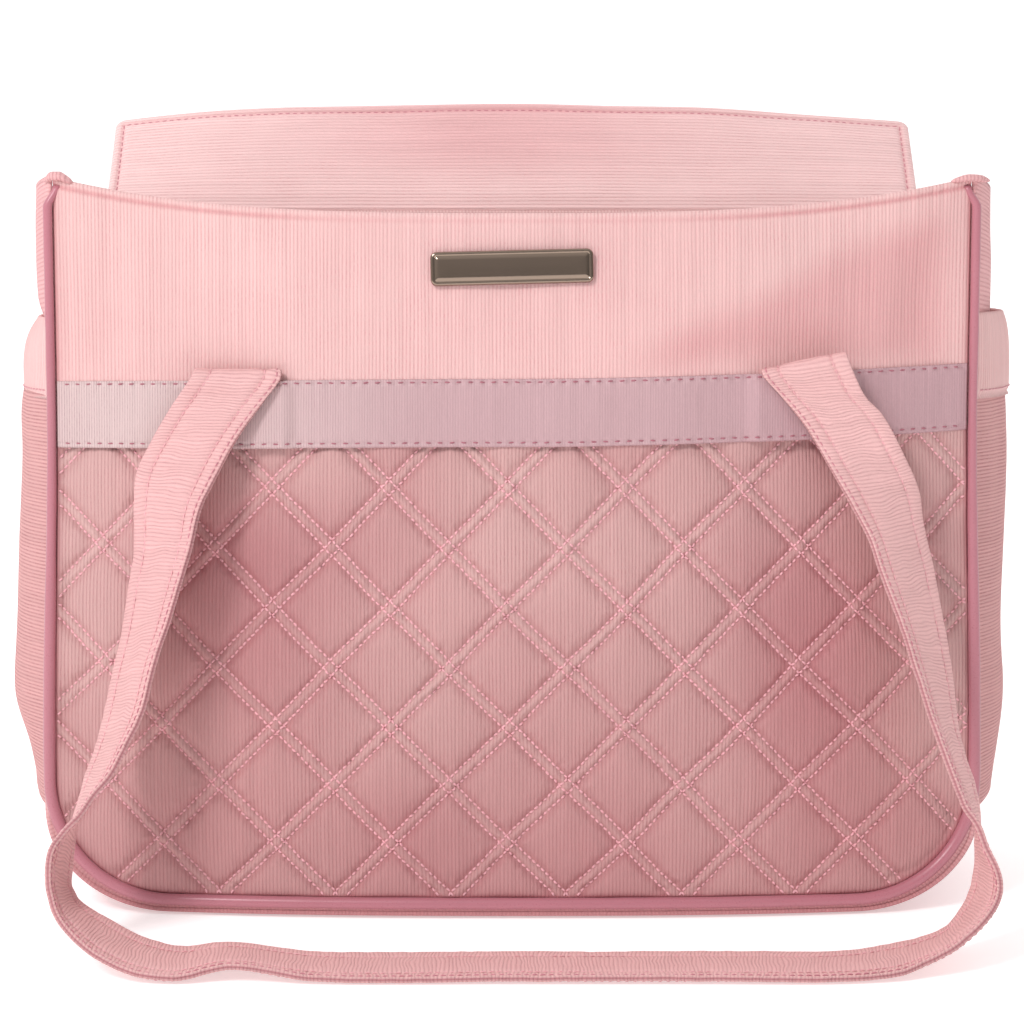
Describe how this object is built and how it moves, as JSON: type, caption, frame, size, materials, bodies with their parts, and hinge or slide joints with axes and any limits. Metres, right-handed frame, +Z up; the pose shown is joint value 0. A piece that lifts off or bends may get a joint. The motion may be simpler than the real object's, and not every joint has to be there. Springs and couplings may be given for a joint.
{
  "type": "diaper bag",
  "caption": "Soft upright tote with a quilted front, a ribbon band, side pockets, a hinged closure flap and shoulder handles that fold down.",
  "frame": {"origin": "on the floor, under the middle of the bag", "axes": "+Z up, -Y towards the front with the nameplate, +X to the right as seen from the front"},
  "size_m": [0.4412, 0.3542, 0.3509],
  "materials": {
    "ribbed_cloth": "fine rib, matt",
    "quilted_cloth": "fine rib, diamond quilting",
    "wadding": "soft filling",
    "ribbon": "grosgrain, slight sheen",
    "piping": "satin",
    "cord": "matt",
    "lining": "plain weave",
    "board": "matt",
    "metal": "polished dark nickel",
    "strap": "fine rib, matt"
  },
  "bodies": {
    "bag": {"front_top_panel": "ribbed_cloth", "front_top_padding": "wadding", "front_quilted_panel": "quilted_cloth", "quilt_padding": "wadding", "front_ribbon": "ribbon", "front_piping_cover": "piping", "front_piping_cord": "cord", "front_lining": "lining", "back_panel": "ribbed_cloth", "back_padding": "wadding", "back_ribbon": "ribbon", "back_piping_cover": "piping", "back_piping_cord": "cord", "back_lining": "lining", "left_gusset": "ribbed_cloth", "right_gusset": "ribbed_cloth", "bottom_gusset": "ribbed_cloth", "gusset_lining": "lining", "base_board": "board", "left_pocket_panel": "ribbed_cloth", "left_pocket_cuff": "ribbed_cloth", "left_pocket_elastic": "cord", "right_pocket_panel": "ribbed_cloth", "right_pocket_cuff": "ribbed_cloth", "right_pocket_elastic": "cord", "inner_pocket_panel": "lining", "inner_pocket_elastic": "cord", "nameplate": "metal", "nameplate_posts": "metal", "nameplate_washer": "metal", "rim_magnet": "metal", "front_handle_tabs": "strap", "back_handle_tabs": "strap", "flap_hinge_seam": "ribbed_cloth"},
    "flap": {"flap_outer": "ribbed_cloth", "flap_core": "wadding", "flap_inner": "ribbed_cloth", "flap_magnet": "metal"},
    "front_handle": {"front_handle_sleeve": "strap", "front_handle_core": "wadding"},
    "back_handle": {"back_handle_sleeve": "strap", "back_handle_core": "wadding"}
  },
  "joints": [
    {"name": "flap_hinge", "type": "hinge", "parent": "bag", "child": "flap", "pos_m": [0, 0.063, 0.298], "axis": [1, 0, 0], "range_deg": [0, 110]},
    {"name": "front_handle_swing", "type": "hinge", "parent": "bag", "child": "front_handle", "pos_m": [0, -0.0885, 0.229], "axis": [-1, 0, 0], "range_deg": [0, 150]},
    {"name": "back_handle_swing", "type": "hinge", "parent": "bag", "child": "back_handle", "pos_m": [0, 0.0885, 0.229], "axis": [1, 0, 0], "range_deg": [0, 150]}
  ]
}
